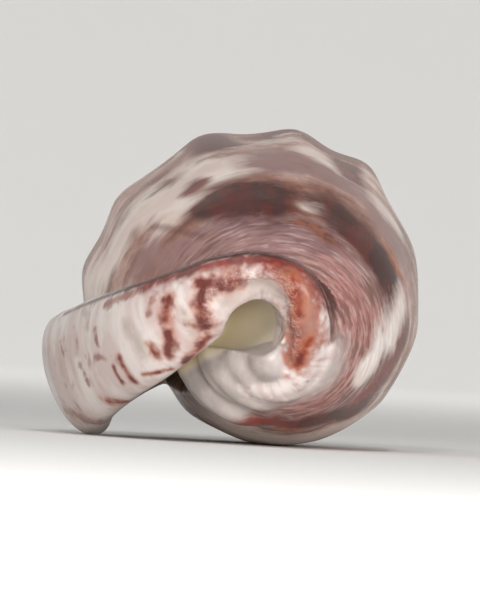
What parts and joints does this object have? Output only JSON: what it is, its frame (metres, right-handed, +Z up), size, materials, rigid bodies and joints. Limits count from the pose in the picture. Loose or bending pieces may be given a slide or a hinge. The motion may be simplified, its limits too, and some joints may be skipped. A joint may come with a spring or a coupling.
{
  "type": "marginella shell",
  "caption": "Thick sea-snail shell with a rolled outer lip hooked round the siphonal opening, a low knobbed shoulder and a short stepped spire, lying on its belly and lip.",
  "frame": {"origin": "bottom centre of the shell's bounding box, on the surface that it rests on", "axes": "+Y from the siphonal end towards the spire, +Z up from the surface, +X across, away from the outer lip"},
  "size_m": [0.0244, 0.035, 0.0206],
  "materials": {
    "shell": "polished"
  },
  "bodies": {
    "root": {"shell": "shell"}
  },
  "joints": []
}
